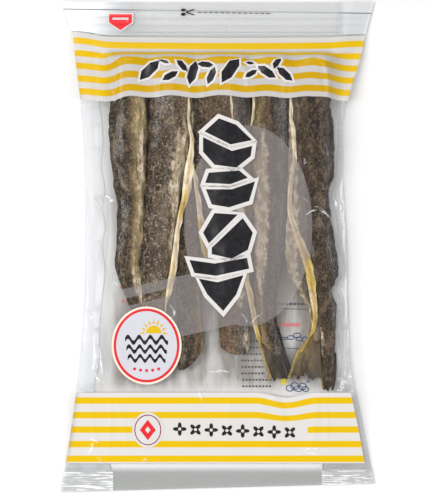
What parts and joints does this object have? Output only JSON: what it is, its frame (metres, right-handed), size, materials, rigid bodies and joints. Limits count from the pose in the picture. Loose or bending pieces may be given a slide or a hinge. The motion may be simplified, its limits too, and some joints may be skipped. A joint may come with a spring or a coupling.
{
  "type": "sealed bag of dried fish",
  "caption": "Clear side-gusseted zip-top bag, heat-sealed at both ends, filled with dried headless fish laid side by side; it lies flat on its back.",
  "frame": {"origin": "on the floor under the middle of the bag's box", "axes": "+Z out of the printed front panel, +Y towards the zip end, X across the bag"},
  "size_m": [0.2192, 0.343, 0.0241],
  "materials": {
    "clear_film": "clear glossy laminated film, slightly hazy, printed white, yellow and black, over brown dried fish"
  },
  "bodies": {
    "root": {"bag": "clear_film"}
  },
  "joints": []
}
